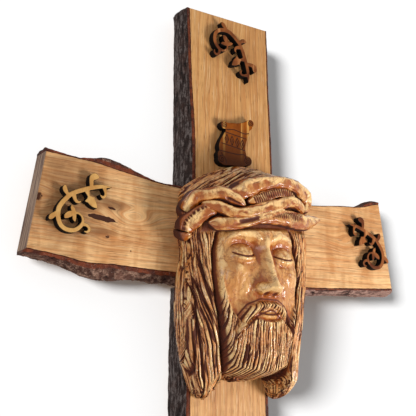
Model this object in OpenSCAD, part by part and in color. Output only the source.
// Wall cross of two live-edge boards with a carved head, a scroll plaque and scroll-sawn ornaments.
// Frame: X to the right, Z up, the front faces -Y. The origin is on the back face where the
// centre lines of the two boards meet.

/* [Boards] */
// Thickness of the upright
upright_t = 33; // [28:1:40]
// Thickness of the cross board, flush with the upright in front
cross_t = 27; // [22:1:34]
// Height of the upright above the crossing
upright_top = 265; // [230:1:300]
// Height of the upright below the crossing
upright_foot = 425; // [380:1:480]
// Nominal width of the upright's front face, without bark
upright_w = 110; // [100:1:125]
// Reach of the left arm
cross_left = 244; // [220:1:280]
// Reach of the right arm
cross_right = 257; // [220:1:290]
// Nominal width of the cross board's front face, without bark
cross_w = 106; // [96:1:120]

/* [Bark] */
// Thickness of full bark
bark_t = 9; // [6:0.5:12]
// Depth of the bark's lumps
bark_rough = 1.2; // [0.4:0.1:2]
// Gap where one bark strip ends against a board or another strip
bark_gap = 0.2; // [0.1:0.05:0.5]
// Height of one step along a bark strip
bark_step = 15; // [10:1:25]

/* [Carved head] */
// Width of the hair
head_w = 160; // [145:1:175]
// Height from the cap of hair to the tips of the locks
head_h = 263; // [240:1:285]
// Height of the cap of hair above the crossing
head_top = 74; // [60:1:90]
// Distance of the head's middle to the right of the crossing
head_x = 4; // [-5:1:10]
// Relief of the hair above the boards
hair_relief = 50; // [40:1:60]
// Relief of the face's edge above the boards
face_edge_relief = 44; // [36:1:50]
// Rise of the cheeks and forehead above the face's edge
face_rise = 20; // [12:1:26]
// Rise of the nose tip above the cheeks
nose_rise = 19; // [14:1:24]
// Thickness of one branch of the crown
branch_d = 27; // [22:1:32]

/* [Title scroll] */
// Width of the scroll
scroll_w = 48; // [40:1:60]
// Height of the scroll
scroll_h = 58; // [48:1:66]
// Thickness of the scroll
scroll_t = 9; // [5:0.5:12]
// Height of the scroll's middle above the crossing
scroll_z = 105.5; // [100:0.5:120]

/* [Ornaments] */
// Length of an ornament from its tip to its loop
ornament_l = 72; // [60:1:84]
// Thickness of an ornament
ornament_t = 9; // [5:0.5:12]
// Distance of the left ornament from the crossing
ornament_left_x = 188; // [165:1:200]
// Distance of the right ornament from the crossing
ornament_right_x = 207; // [180:1:215]
// Distance of the top ornament from the crossing
ornament_top_z = 215.5; // [190:0.5:225]
// Distance of the foot ornament from the crossing
ornament_foot_z = 370; // [320:1:385]

/* [Joinery] */
// Diameter of the dowels in the half-lap
dowel_d = 8; // [6:1:10]
// Length of the dowels
dowel_l = 20; // [14:1:24]
// Radial clearance round dowels and screws
joint_gap = 0.1; // [0.05:0.05:0.3]
// Shank diameter of the head's screws
head_screw_d = 4.5; // [4:0.5:6]
// Depth to which the head's screws reach into the carving
head_screw_bite = 20; // [15:1:28]
// Diameter of the head's screw heads
head_screw_head_d = 9; // [8:0.5:11]
// Depth of the counterbores for these screws
head_screw_sink = 8; // [5:1:10]

/* [Hanger] */
// Height of the keyhole's entry above the crossing
hanger_z = 170; // [140:1:190]
// Width of the hanger plate
hanger_w = 18; // [16:1:24]
// Length of the hanger plate
hanger_l = 50; // [44:1:60]
// Thickness of the hanger plate
hanger_t = 2; // [1.5:0.5:3]
// Depth of the plate's outer face below the back of the board
hanger_sink = 0.3; // [0.1:0.1:0.8]
// Diameter of the keyhole's entry
keyhole_d = 9.5; // [8.5:0.5:11]
// Width of the keyhole's slot
keyhole_slot_w = 4.5; // [4:0.5:5.5]
// Travel from the entry to the end of the slot
keyhole_travel = 10; // [8:1:12]
// Depth of the pocket behind the plate
pocket_depth = 8; // [6:1:10]
// Room round a screw head that slides in the pocket
pocket_margin = 0.5; // [0.3:0.1:1]
// Shank diameter of the plate's screws
hanger_screw_d = 3; // [2.5:0.5:4]
// Diameter of their countersunk heads
hanger_screw_head_d = 5.8; // [5:0.2:7]
// Length of the plate's screws
hanger_screw_l = 16; // [12:1:20]

/* [Hidden] */
$fn = 48;
eps = 0.5;

wood_colour = "burlywood";
bark_colour = "dimgray";
carving_colour = "peru";
ornament_colour = "chocolate";
metal_colour = "goldenrod";

board_front = -upright_t;
cross_back = board_front + cross_t;
lap_y = board_front + cross_t / 2;
upright_h = upright_top + upright_foot;

// Front edges of the boards: share of the length, then share of half the width
upright_left_shares = [[0, 0.99], [0.18, 1.01], [0.34, 0.99], [0.45, 0.98], [0.51, 0.945], [0.69, 0.905],
                       [0.785, 0.93], [0.825, 0.97], [0.865, 1.01], [0.94, 1.05], [1, 1.09]];
upright_right_shares = [[0, 0.92], [0.18, 0.89], [0.355, 0.855], [0.53, 0.945], [0.74, 1.07],
                        [0.815, 1.045], [0.885, 1.01], [0.94, 1], [1, 0.985]];
// Edges of the cross board: share of the arm's reach, negative on the left arm
cross_top_shares = [[-0.937, 1.083], [-0.835, 1.055], [-0.71, 1.017], [-0.605, 0.945], [-0.5, 0.873],
                    [-0.385, 0.8], [-0.24, 0.765], [0, 0.775], [0.235, 0.81], [0.485, 0.86], [0.66, 0.96],
                    [0.835, 1.057], [0.885, 1.13], [0.934, 1.18]];
cross_bottom_shares = [[-1, 0.855], [-0.84, 0.94], [-0.74, 1.02], [-0.615, 1.01], [-0.435, 1.04],
                       [-0.295, 1.05], [0, 1.085], [0.235, 1.11], [0.43, 1.12], [0.71, 1.045], [1, 0.955]];

function arm_x(share) = share < 0 ? share * cross_left : share * cross_right;
function arm_share(x) = x < 0 ? x / cross_left : x / cross_right;
function upright_z(share) = share * upright_h - upright_foot;
function upright_share(z) = (z + upright_foot) / upright_h;
function left_edge_x(z) = -lookup(upright_share(z), upright_left_shares) * upright_w / 2;
function right_edge_x(z) = lookup(upright_share(z), upright_right_shares) * upright_w / 2;
function top_edge_z(x) = lookup(arm_share(x), cross_top_shares) * cross_w / 2;
function bottom_edge_z(x) = -lookup(arm_share(x), cross_bottom_shares) * cross_w / 2;
function reversed(list) = [for (i = [len(list) - 1:-1:0]) list[i]];

upright_outline = concat([for (s = upright_left_shares) [left_edge_x(upright_z(s[0])), upright_z(s[0])]],
                         reversed([for (s = upright_right_shares)
                                   [right_edge_x(upright_z(s[0])), upright_z(s[0])]]));
cross_outline = concat([for (s = cross_top_shares) [arm_x(s[0]), top_edge_z(arm_x(s[0]))]],
                       reversed([for (s = cross_bottom_shares) [arm_x(s[0]), bottom_edge_z(arm_x(s[0]))]]));

// A flat outline in X and Z raised to a slab from y0 towards the front, t thick
module slab(y0, t) translate([0, y0, 0]) rotate([90, 0, 0]) linear_extrude(t) children();

// A round bar along Y from y0 towards the front
module bar(x, y0, z, d, l) translate([x, y0, z]) rotate([90, 0, 0]) cylinder(d = d, h = l);

// Places of the dowels in the lap, and of the head's screws in the upright
dowel_places_share = [[-0.62, 0.5], [0.62, 0.5], [-0.62, -0.72], [0.62, -0.72]];
head_screw_down_shares = [0.2, 0.42, 0.72];
function dowel_place(s) = [s[0] * upright_w / 2, s[1] * cross_w / 2];
function head_screw_z(share) = head_top - share * head_h;

module dowel_holes() {
    hole_l = dowel_l + 2 * joint_gap;
    for (s = dowel_places_share)
        bar(dowel_place(s)[0], lap_y + hole_l / 2, dowel_place(s)[1], dowel_d + 2 * joint_gap, hole_l);
}

module head_screw_holes() {
    for (s = head_screw_down_shares) {
        bar(head_x, eps, head_screw_z(s), head_screw_d + 2 * joint_gap, upright_t + 2 * eps);
        bar(head_x, eps, head_screw_z(s), head_screw_head_d + 2 * joint_gap, head_screw_sink + eps);
    }
}

// A countersunk screw along Y with its head at y0, or the hole for it when room is given
module countersunk(y0, z, l, room) {
    sink = (hanger_screw_head_d - hanger_screw_d) / 2;
    bar(0, y0, z, hanger_screw_d + 2 * room, l);
    translate([0, y0, z]) rotate([90, 0, 0])
        cylinder(d1 = hanger_screw_head_d + 2 * room, d2 = hanger_screw_d + 2 * room, h = sink);
}

// Keyhole hanger and the pocket behind it. Shares of the plate's length, from the keyhole's entry
plate_y = -hanger_sink;
plate_foot_share = 0.33;
plate_screw_shares = [-0.22, 0.56];
plate_z0 = hanger_z - plate_foot_share * hanger_l;
pocket_w = keyhole_d + 2 * pocket_margin;
module rounded_strip(w, z0, z1) {
    translate([0, z0 + w / 2]) circle(d = w);
    translate([0, z1 - w / 2]) circle(d = w);
    translate([-w / 2, z0 + w / 2]) square([w, z1 - z0 - w]);
}
module keyhole_outline() {
    translate([0, hanger_z]) circle(d = keyhole_d);
    rounded_strip(keyhole_slot_w, hanger_z, hanger_z + keyhole_travel + keyhole_slot_w / 2);
}

module upright_board() color(wood_colour) difference() {
    slab(0, upright_t) polygon(upright_outline);
    slab(lap_y, upright_t) polygon(cross_outline);
    dowel_holes();
    head_screw_holes();
    slab(eps, hanger_sink + hanger_t + joint_gap + eps)
        rounded_strip(hanger_w + 2 * joint_gap, plate_z0 - joint_gap, plate_z0 + hanger_l + joint_gap);
    slab(eps, pocket_depth + eps)
        rounded_strip(pocket_w, hanger_z - pocket_w / 2, hanger_z + keyhole_travel + pocket_w / 2);
    for (s = plate_screw_shares)
        bar(0, eps, hanger_z + s * hanger_l, hanger_screw_d + 2 * joint_gap,
            hanger_sink + hanger_screw_l + joint_gap + eps);
}

module cross_board() color(wood_colour) difference() {
    slab(cross_back, cross_t) polygon(cross_outline);
    slab(cross_back + eps, cross_t / 2 + eps) polygon(upright_outline);
    dowel_holes();
    head_screw_holes();
}

module lap_dowels() color(wood_colour)
    for (s = dowel_places_share)
        bar(dowel_place(s)[0], lap_y + dowel_l / 2, dowel_place(s)[1], dowel_d, dowel_l);

// Bark: stations along a wood edge, each a closed ring from the front face to the back face.
// Rows are share of the length, then shares of the bark's thickness at front, middle and back.
bark_upright_left_shares = [[0, 0.35, 0.95, 0.85], [0.34, 0.35, 1, 0.9], [0.45, 0.35, 1.05, 0.95],
                            [0.56, 0.35, 1.1, 1.1], [0.69, 0.3, 1.2, 1.2], [0.785, 0.3, 1.05, 1.05],
                            [0.825, 0.3, 0.9, 0.85], [0.92, 0.3, 0.75, 0.45], [1, 0.3, 0.6, 0.3]];
bark_upright_right_shares = [[0, 0.4, 0.8, 0.6], [0.3, 0.4, 0.9, 0.6], [0.53, 0.35, 0.8, 0.6],
                             [0.74, 0.25, 0.7, 0.6], [0.9, 0.2, 0.6, 0.5], [1, 0.15, 0.5, 0.4]];
bark_cross_top_shares = [[-1, 0.4, 0.5, 0.35], [-0.72, 0.42, 0.6, 0.4], [-0.68, 0.8, 0.9, 0.6],
                         [-0.58, 0.85, 0.95, 0.6], [-0.5, 0.42, 0.6, 0.4], [-0.43, 0.15, 0.35, 0.3],
                         [-0.24, 0.25, 0.3, 0.25], [0.3, 0.15, 0.25, 0.25], [0.82, 0.15, 0.3, 0.25],
                         [0.89, 0.55, 0.7, 0.4], [0.94, 0.25, 0.5, 0.4]];
bark_cross_bottom_shares = [[-1, 0.3, 0.3, 0.15], [-0.88, 0.32, 0.45, 0.25], [-0.77, 0.36, 0.95, 0.65],
                            [-0.68, 0.4, 1.4, 1.2], [-0.6, 0.4, 1.45, 1.25], [-0.5, 0.38, 1.1, 0.85],
                            [-0.4, 0.38, 1.1, 0.85], [-0.24, 0.38, 1.15, 0.95], [0.3, 0.35, 0.9, 0.7],
                            [0.75, 0.35, 0.85, 0.65], [0.96, 0.4, 0.95, 0.6], [1, 0.4, 0.9, 0.6]];
bark_depth_shares = [0, 0.12, 0.38, 0.66, 0.9, 1];

// Column of one thickness in a bark table, for lookup
function bark_column(table, column) = [for (row = table) [row[0], row[column]]];
function bark_lump(i, j) = bark_rough * sin(i * 97 + j * 61) * cos(i * 41 - j * 113);
function bark_out(table, share, depth, i, j) =
    let (front = lookup(share, bark_column(table, 1)),
         middle = lookup(share, bark_column(table, 2)),
         back = lookup(share, bark_column(table, 3)),
         mixed = depth < 0.5 ? front + (middle - front) * sin(180 * depth)
                             : back + (middle - back) * sin(180 * depth))
    bark_t * mixed + (depth > 0 && depth < 1 ? bark_lump(i, j) : 0);

// Stations between two places, with the corners of the wood edge among them
function stations(from, to, corners) =
    let (inner = [for (c = corners) if (c > from + eps && c < to - eps) c],
         ends = concat([from], inner, [to]))
    [for (k = [0:len(ends) - 2])
         let (steps = ceil((ends[k + 1] - ends[k]) / bark_step))
         for (i = [0:steps - 1]) ends[k] + (ends[k + 1] - ends[k]) * i / steps,
     to];

// Skin over closed rings of equal size, with flat ends
module ring_skin(rings) {
    n = len(rings[0]);
    m = len(rings);
    points = [for (r = rings) for (p = r) p];
    sides = [for (i = [0:m - 2]) for (j = [0:n - 1]) for (half = [0, 1])
                 let (a = i * n + j, b = i * n + (j + 1) % n, c = a + n, d = b + n)
                 half == 0 ? [a, c, b] : [b, c, d]];
    polyhedron(points, concat(sides, [[for (j = [0:n - 1]) j]],
                              [[for (j = [n - 1:-1:0]) (m - 1) * n + j]]), convexity = 6);
}

function upright_bark_ring(z, side, table, i) =
    let (edge = side < 0 ? left_edge_x(z) : right_edge_x(z),
         outer = [for (j = [0:len(bark_depth_shares) - 1])
                      let (d = bark_depth_shares[j])
                      [edge + side * bark_out(table, upright_share(z), d, i, j), board_front + d * upright_t, z]],
         ring = concat([[edge, board_front, z]], outer, [[edge, 0, z]]))
    side < 0 ? ring : reversed(ring);

function cross_bark_ring(x, side, table, i) =
    let (edge = side > 0 ? top_edge_z(x) : bottom_edge_z(x),
         outer = [for (j = [0:len(bark_depth_shares) - 1])
                      let (d = bark_depth_shares[j])
                      [x, board_front + d * cross_t, edge + side * bark_out(table, arm_share(x), d, i, j)]],
         ring = concat([[x, board_front, edge]], outer, [[x, cross_back, edge]]))
    side > 0 ? ring : reversed(ring);

module upright_bark(from, to, side, wood, table) {
    places = stations(from, to, [for (s = wood) upright_z(s[0])]);
    ring_skin([for (i = [0:len(places) - 1]) upright_bark_ring(places[i], side, table, i)]);
}

module cross_bark(from, to, side, wood, table) {
    places = stations(from, to, [for (s = wood) arm_x(s[0])]);
    ring_skin([for (i = [0:len(places) - 1]) cross_bark_ring(places[i], side, table, i)]);
}

// Height at which an upright strip meets the cross strip beside it, and places where those end
bark_meet = bark_t * 0.55 + bark_rough + bark_gap;
bark_meet_low = bark_t * 1.2 + bark_rough + bark_gap;
left_top_end = left_edge_x(top_edge_z(-upright_w / 2)) - bark_gap;
left_bottom_end = left_edge_x(bottom_edge_z(-upright_w / 2)) - bark_gap;
right_top_end = right_edge_x(top_edge_z(upright_w / 2)) + bark_gap;
right_bottom_end = right_edge_x(bottom_edge_z(upright_w / 2)) + bark_gap;

module bark_upright_left_upper() color(bark_colour)
    upright_bark(top_edge_z(left_top_end) + bark_meet, upright_top, -1, upright_left_shares,
                 bark_upright_left_shares);
module bark_upright_left_lower() color(bark_colour)
    upright_bark(-upright_foot, bottom_edge_z(left_bottom_end) - bark_meet_low, -1, upright_left_shares,
                 bark_upright_left_shares);
module bark_upright_right_upper() color(bark_colour)
    upright_bark(top_edge_z(right_top_end) + bark_meet, upright_top, 1, upright_right_shares,
                 bark_upright_right_shares);
module bark_upright_right_lower() color(bark_colour)
    upright_bark(-upright_foot, bottom_edge_z(right_bottom_end) - bark_meet_low, 1, upright_right_shares,
                 bark_upright_right_shares);
module bark_left_arm_top() color(bark_colour)
    cross_bark(arm_x(cross_top_shares[0][0]), left_top_end, 1, cross_top_shares, bark_cross_top_shares);
module bark_left_arm_bottom() color(bark_colour)
    cross_bark(-cross_left, left_bottom_end, -1, cross_bottom_shares, bark_cross_bottom_shares);
module bark_right_arm_top() color(bark_colour)
    cross_bark(right_top_end, arm_x(cross_top_shares[len(cross_top_shares) - 1][0]), 1, cross_top_shares,
               bark_cross_top_shares);
module bark_right_arm_bottom() color(bark_colour)
    cross_bark(right_bottom_end, cross_right, -1, cross_bottom_shares, bark_cross_bottom_shares);

// Carved head: a grid of columns and rows inside its outline, raised to the relief, with a flat
// back. Places go down from the cap of hair in shares of the head's height.
head_columns = 46;
head_rows = 70;
head_left_shares = [[0, 0.36], [0.04, 0.62], [0.09, 0.82], [0.14, 0.92], [0.2, 0.96], [0.3, 0.95],
                    [0.345, 0.96], [0.4, 0.92], [0.5, 0.97], [0.72, 0.98], [0.82, 0.92], [0.92, 0.84],
                    [1, 0.76]];
head_right_shares = [[0, 0.55], [0.03, 0.86], [0.06, 1.02], [0.1, 1.12], [0.16, 1.15], [0.195, 1.22],
                     [0.216, 1.33], [0.236, 1.31], [0.265, 1.12], [0.31, 1.05], [0.5, 1.03], [0.64, 0.96], [0.75, 0.9],
                     [0.85, 0.85], [0.93, 0.83], [1, 0.78]];
// Lower edge across the head: column share, then share of the height
head_bottom_shares = [[-1, 0.86], [-0.95, 0.96], [-0.86, 0.995], [-0.76, 1], [-0.66, 0.975], [-0.56, 0.92],
                      [-0.48, 0.905], [-0.3, 0.915], [0, 0.925], [0.28, 0.915], [0.46, 0.89], [0.54, 0.91],
                      [0.66, 0.985], [0.78, 1], [0.88, 0.99], [0.96, 0.96], [1, 0.9]];
head_top_shares = [[-1, 0.13], [-0.8, 0.065], [-0.55, 0.025], [-0.25, 0.005], [0, 0], [0.3, 0],
                   [0.6, 0.008], [0.82, 0.025], [1, 0.06]];

function mix(a, b, t) = a + (b - a) * t;
function clamp01(t) = min(max(t, 0), 1);
function ease(t) = let (c = clamp01(t)) c * c * (3 - 2 * c);
function soft_max(a, b, k) = let (h = max(k - abs(a - b), 0) / k) max(a, b) + h * h * k / 4;

// Crown: two branches wind round each other along a line that climbs to the right.
// Returns the relief of one branch over the point, or zero away from it.
crown_down_share = 0.185;
crown_climb_share = 0.13;
crown_swing_share = 0.5;
crown_turns = 1.35;
function crown_line(x) = head_top - crown_down_share * head_h + crown_climb_share * x;
function crown_base(x) = hair_relief * (1 - 0.32 * pow(abs(x) / (head_w / 2), 2.2));
function branch_relief(x, z, phase) =
    let (turn = 360 * crown_turns * x / head_w + phase,
         middle = crown_line(x) + crown_swing_share * branch_d * sin(turn),
         d = abs(z - middle) / (branch_d / 2),
         lift = 0.22 * branch_d * cos(turn))
    d >= 1 ? 0 : crown_base(x) + lift + branch_d * 0.42 * sqrt(1 - d * d);

// Forms of the face and the beard: place across, place down, half width, half height, rise, power.
// Across and half width are shares of the head's width and the rise is a share of the nose's.
face_form_shares = [
    [0, 0.345, 0.3, 0.035, 0.22, 1.2],
    [0.165, 0.365, 0.1, 0.022, 0.24, 1],
    [0.165, 0.412, 0.1, 0.036, -0.5, 1],
    [0.165, 0.412, 0.075, 0.022, 0.42, 0.8],
    [0.2, 0.505, 0.1, 0.055, 0.2, 1.2],
    [0.075, 0.578, 0.045, 0.022, 0.34, 1],
    [0.09, 0.618, 0.13, 0.028, 0.42, 1],
    [0.23, 0.672, 0.06, 0.075, 0.34, 1],
    [0, 0.643, 0.1, 0.013, 0.3, 1],
    [0, 0.667, 0.085, 0.014, 0.34, 1],
    [0, 0.655, 0.1, 0.006, -0.3, 1],
    [0, 0.77, 0.27, 0.16, 0.75, 0.8]];
function face_form(x, down, f) =
    let (dx = (abs(x) / head_w - f[0]) / f[2], dz = (down - f[1]) / f[3], q = dx * dx + dz * dz)
    q >= 1 ? 0 : f[4] * nose_rise * pow(1 - q, f[5]);
function sum(list, i = 0) = i >= len(list) ? 0 : list[i] + sum(list, i + 1);

nose_start_share = 0.36;
nose_end_share = 0.585;
function nose(x, down) =
    let (t = clamp01((down - nose_start_share) / (nose_end_share - nose_start_share)),
         width = head_w * mix(0.035, 0.085, t * t),
         cut = 1 - ease((down - nose_end_share) / 0.018))
    down < nose_start_share - 0.02 ? 0
        : nose_rise * mix(0.22, 1, pow(t, 1.3)) * exp(-pow(x / width, 2)) * cut
          * ease((down - nose_start_share + 0.02) / 0.03);

face_middle_share = 0.56;
face_half_h_share = 0.37;
face_half_w_share = 0.345;
strand_w = 9;
strand_depth = 1.4;
function face_mass(x, down) =
    let (q = pow(x / (head_w * face_half_w_share), 2)
             + pow((down - face_middle_share) / face_half_h_share, 2))
    q >= 1 ? face_edge_relief * max(0, 1.25 - 0.3 * q) : face_edge_relief + face_rise * sqrt(1 - q);
function hair_mass(u, down) =
    let (sink = mix(1, u < 0 ? 0.6 : 0.9, ease((down - 0.66) / 0.34)))
    hair_relief * sink * mix(0.45, 1, sqrt(max(0, 1 - pow(abs(u), 3.5))));
function strands(x, down) = strand_depth * sin(360 * (abs(x) + 9 * strand_w * pow(down - 0.6, 2)) / strand_w);

function relief(u, x, z, down) =
    let (hair = hair_mass(u, down) + strands(x, down),
         face = face_mass(x, down) + nose(x, down)
                + sum([for (f = face_form_shares) face_form(x, down, f)]),
         low_edge = head_bottom_gap(u, down),
         body = max(abs(x) < head_w * face_half_w_share ? soft_max(face, 0.8 * hair, strand_depth * 3) : hair,
                    branch_relief(x, z, 0), branch_relief(x, z, 180)))
    body * mix(0.42, 1, sqrt(clamp01(low_edge)));
// Shares of the way up from the lower edge and down from the upper edge, full within a short way
function head_bottom_gap(u, down) =
    min((lookup(u, head_bottom_shares) - down) / 0.06, (down - lookup(u, head_top_shares)) / 0.045);

function head_point(i, j) =
    let (u = -1 + 2 * i / head_columns,
         down = mix(lookup(u, head_bottom_shares), lookup(u, head_top_shares), j / head_rows),
         half = lookup(down, u < 0 ? head_left_shares : head_right_shares) * head_w / 2,
         x = u * half,
         z = head_top - down * head_h)
    [head_x + x, board_front - relief(u, x, z, down), z];

module head_carving() color(carving_colour) {
    n = head_columns + 1;
    front = [for (j = [0:head_rows]) for (i = [0:head_columns]) head_point(i, j)];
    rim = concat([for (i = [0:head_columns]) i],
                 [for (j = [1:head_rows]) j * n + head_columns],
                 [for (i = [head_columns - 1:-1:0]) head_rows * n + i],
                 [for (j = [head_rows - 1:-1:1]) j * n]);
    base = len(front);
    count = len(rim);
    back = [for (k = rim) [front[k][0], board_front, front[k][2]]];
    skin = [for (j = [0:head_rows - 1]) for (i = [0:head_columns - 1]) for (half = [0, 1])
                let (a = j * n + i, b = a + 1, c = a + n, d = c + 1)
                half == 0 ? [a, c, b] : [b, c, d]];
    wall = [for (k = [0:count - 1]) for (half = [0, 1])
                let (a = rim[k], b = rim[(k + 1) % count], c = base + k, d = base + (k + 1) % count)
                half == 0 ? [a, b, c] : [b, d, c]];
    polyhedron(concat(front, back), concat(skin, wall, [[for (k = [0:count - 1]) base + k]]),
               convexity = 10);
}

module head_screws() color(metal_colour)
    for (s = head_screw_down_shares) {
        bar(head_x, -head_screw_sink + head_screw_d / 2, head_screw_z(s), head_screw_head_d, head_screw_d / 2);
        bar(head_x, -head_screw_sink, head_screw_z(s), head_screw_d,
            upright_t - head_screw_sink + head_screw_bite);
    }

// Title scroll: body outline and four rolled ends, in shares of its width and height
scroll_outline_shares = [[-0.32, 0.39], [-0.2, 0.37], [-0.08, 0.385], [0.1, 0.405], [0.31, 0.47],
                         [0.42, 0.52], [0.48, 0.46], [0.53, 0.365], [0.44, 0.285], [0.43, 0.22],
                         [0.37, 0.095], [0.325, -0.02], [0.315, -0.145], [0.35, -0.27], [0.38, -0.36],
                         [0.36, -0.46], [0.16, -0.51], [-0.1, -0.525], [-0.4, -0.525], [-0.5, -0.4],
                         [-0.505, -0.295], [-0.465, -0.25], [-0.48, -0.17], [-0.44, -0.04], [-0.34, 0.11],
                         [-0.28, 0.22], [-0.36, 0.26]];
scroll_roll_shares = [[-0.32, 0.305, 0.2], [0.48, 0.46, 0.19], [0.38, -0.365, 0.25], [-0.395, -0.43, 0.22]];

module title_scroll() color(ornament_colour) translate([0, 0, scroll_z]) union() {
    slab(board_front, scroll_t) polygon([for (p = scroll_outline_shares) [p[0] * scroll_w, p[1] * scroll_h]]);
    for (r = scroll_roll_shares)
        bar(r[0] * scroll_w, board_front, r[1] * scroll_h, r[2] * scroll_w, scroll_t);
}

// Ornament strokes: across, up and half width, in shares of the ornament's length
spine_shares = [[0.418, 0.325, 0.004], [0.335, 0.322, 0.02], [0.238, 0.312, 0.03], [0.09, 0.272, 0.033],
                [-0.042, 0.222, 0.034], [-0.146, 0.176, 0.034], [-0.222, 0.13, 0.034], [-0.28, 0.07, 0.035],
                [-0.34, -0.004, 0.036], [-0.383, -0.085, 0.037], [-0.393, -0.156, 0.037],
                [-0.38, -0.243, 0.036], [-0.347, -0.314, 0.035], [-0.288, -0.361, 0.034],
                [-0.211, -0.379, 0.033], [-0.139, -0.371, 0.032], [-0.061, -0.32, 0.03],
                [-0.022, -0.27, 0.027], [-0.014, -0.212, 0.021], [-0.036, -0.157, 0.017],
                [-0.09, -0.121, 0.017], [-0.14, -0.122, 0.02]];
end_hook_shares = [[-0.04, -0.285, 0.022], [0.03, -0.275, 0.024], [0.072, -0.301, 0.022],
                   [0.088, -0.34, 0.022], [0.06, -0.375, 0.018], [0.018, -0.375, 0.01]];
long_knob_shares = [[0.1, 0.285, 0.03], [0.093, 0.354, 0.033], [0.096, 0.403, 0.038], [0.122, 0.442, 0.05],
                    [0.155, 0.452, 0.047], [0.19, 0.448, 0.024]];
short_knob_shares = [[-0.235, 0.115, 0.026], [-0.275, 0.153, 0.028], [-0.299, 0.189, 0.036],
                     [-0.307, 0.217, 0.035], [-0.305, 0.245, 0.02]];
side_knob_shares = [[-0.39, -0.15, 0.035], [-0.444, -0.18, 0.033], [-0.486, -0.217, 0.037],
                    [-0.505, -0.24, 0.022]];
inner_hook_shares = [[-0.174, 0.16, 0.034], [-0.161, 0.111, 0.033], [-0.144, 0.069, 0.028],
                     [-0.117, 0.042, 0.024], [-0.083, 0.039, 0.018], [-0.053, 0.06, 0.006]];
long_leaf_shares = [[0.03, 0.22, 0.04], [0.055, 0.16, 0.022], [0.07, 0.13, 0.022], [0.09, 0.097, 0.055],
                    [0.125, 0.056, 0.056], [0.16, 0.021, 0.036], [0.194, -0.014, 0.006]];
long_leaf_lobe_shares = [[0.15, 0.14, 0.006], [0.1, 0.1, 0.03], [0.05, 0.08, 0.03], [0.008, 0.067, 0.006]];
loop_leaf_shares = [[-0.197, -0.017, 0.006], [-0.178, -0.058, 0.03], [-0.157, -0.104, 0.032],
                    [-0.146, -0.153, 0.03], [-0.146, -0.208, 0.028], [-0.133, -0.25, 0.006]];
loop_leaf_lobe_shares = [[-0.15, -0.12, 0.024], [-0.22, -0.15, 0.044], [-0.264, -0.18, 0.036],
                         [-0.289, -0.208, 0.01]];
tip_hook_shares = [[0.3, 0.3, 0.034], [0.319, 0.229, 0.02], [0.314, 0.179, 0.02], [0.282, 0.158, 0.022],
                   [0.236, 0.19, 0.006]];
ornament_strokes = [spine_shares, end_hook_shares, long_knob_shares, short_knob_shares, side_knob_shares,
                    inner_hook_shares, long_leaf_shares, long_leaf_lobe_shares, loop_leaf_shares,
                    loop_leaf_lobe_shares, tip_hook_shares];
curve_steps = 2;

// Smooth curve through points, two steps to each stretch
function curve_at(a, b, c, d, t) =
    ((2 * b) + (c - a) * t + (2 * a - 5 * b + 4 * c - d) * t * t + (3 * b - a - 3 * c + d) * t * t * t) / 2;
function smooth_path(p) =
    let (last = len(p) - 1)
    [for (k = [0:last - 1]) for (i = [0:curve_steps - 1])
         curve_at(p[max(k - 1, 0)], p[k], p[k + 1], p[min(k + 2, last)], i / curve_steps),
     p[last]];
function flat_unit(v) = [v[0], v[1]] / norm([v[0], v[1]]);
function stroke_side(p, side) =
    [for (k = [0:len(p) - 1])
         let (t = flat_unit(p[min(k + 1, len(p) - 1)] - p[max(k - 1, 0)]))
         [p[k][0], p[k][1]] + side * p[k][2] * [-t[1], t[0]]];

module ornament() slab(board_front, ornament_t)
    for (stroke = ornament_strokes) {
        path = ornament_l * smooth_path(stroke);
        polygon(concat(stroke_side(path, 1), reversed(stroke_side(path, -1))));
    }

// Heights of the side ornaments and offset of the other two, in shares of the board's width
left_up_share = 0.03;
right_up_share = 0.015;
upright_side_share = -0.02;
right_tilt = 2;
top_turn = 92;
foot_turn = -90;

module ornament_left() color(ornament_colour)
    translate([-ornament_left_x, 0, left_up_share * cross_w]) ornament();
module ornament_right() color(ornament_colour)
    translate([ornament_right_x, 0, right_up_share * cross_w])
        rotate([0, right_tilt, 0]) mirror([1, 0, 0]) ornament();
module ornament_top() color(ornament_colour)
    translate([upright_side_share * upright_w, 0, ornament_top_z]) rotate([0, top_turn, 0]) ornament();
module ornament_foot() color(ornament_colour)
    translate([upright_side_share * upright_w, 0, -ornament_foot_z])
        rotate([0, foot_turn, 0]) mirror([1, 0, 0]) ornament();

module hanger_plate() color(metal_colour) difference() {
    slab(plate_y, hanger_t) rounded_strip(hanger_w, plate_z0, plate_z0 + hanger_l);
    slab(plate_y + eps, hanger_t + 2 * eps) keyhole_outline();
    for (s = plate_screw_shares)
        countersunk(plate_y, hanger_z + s * hanger_l, hanger_t + eps, joint_gap);
}

module hanger_screws() color(metal_colour)
    for (s = plate_screw_shares)
        countersunk(plate_y, hanger_z + s * hanger_l, hanger_screw_l, 0);

upright_board();
cross_board();
bark_upright_left_upper();
bark_upright_left_lower();
bark_upright_right_upper();
bark_upright_right_lower();
bark_left_arm_top();
bark_left_arm_bottom();
bark_right_arm_top();
bark_right_arm_bottom();
lap_dowels();
head_carving();
head_screws();
title_scroll();
ornament_left();
ornament_right();
ornament_top();
ornament_foot();
hanger_plate();
hanger_screws();
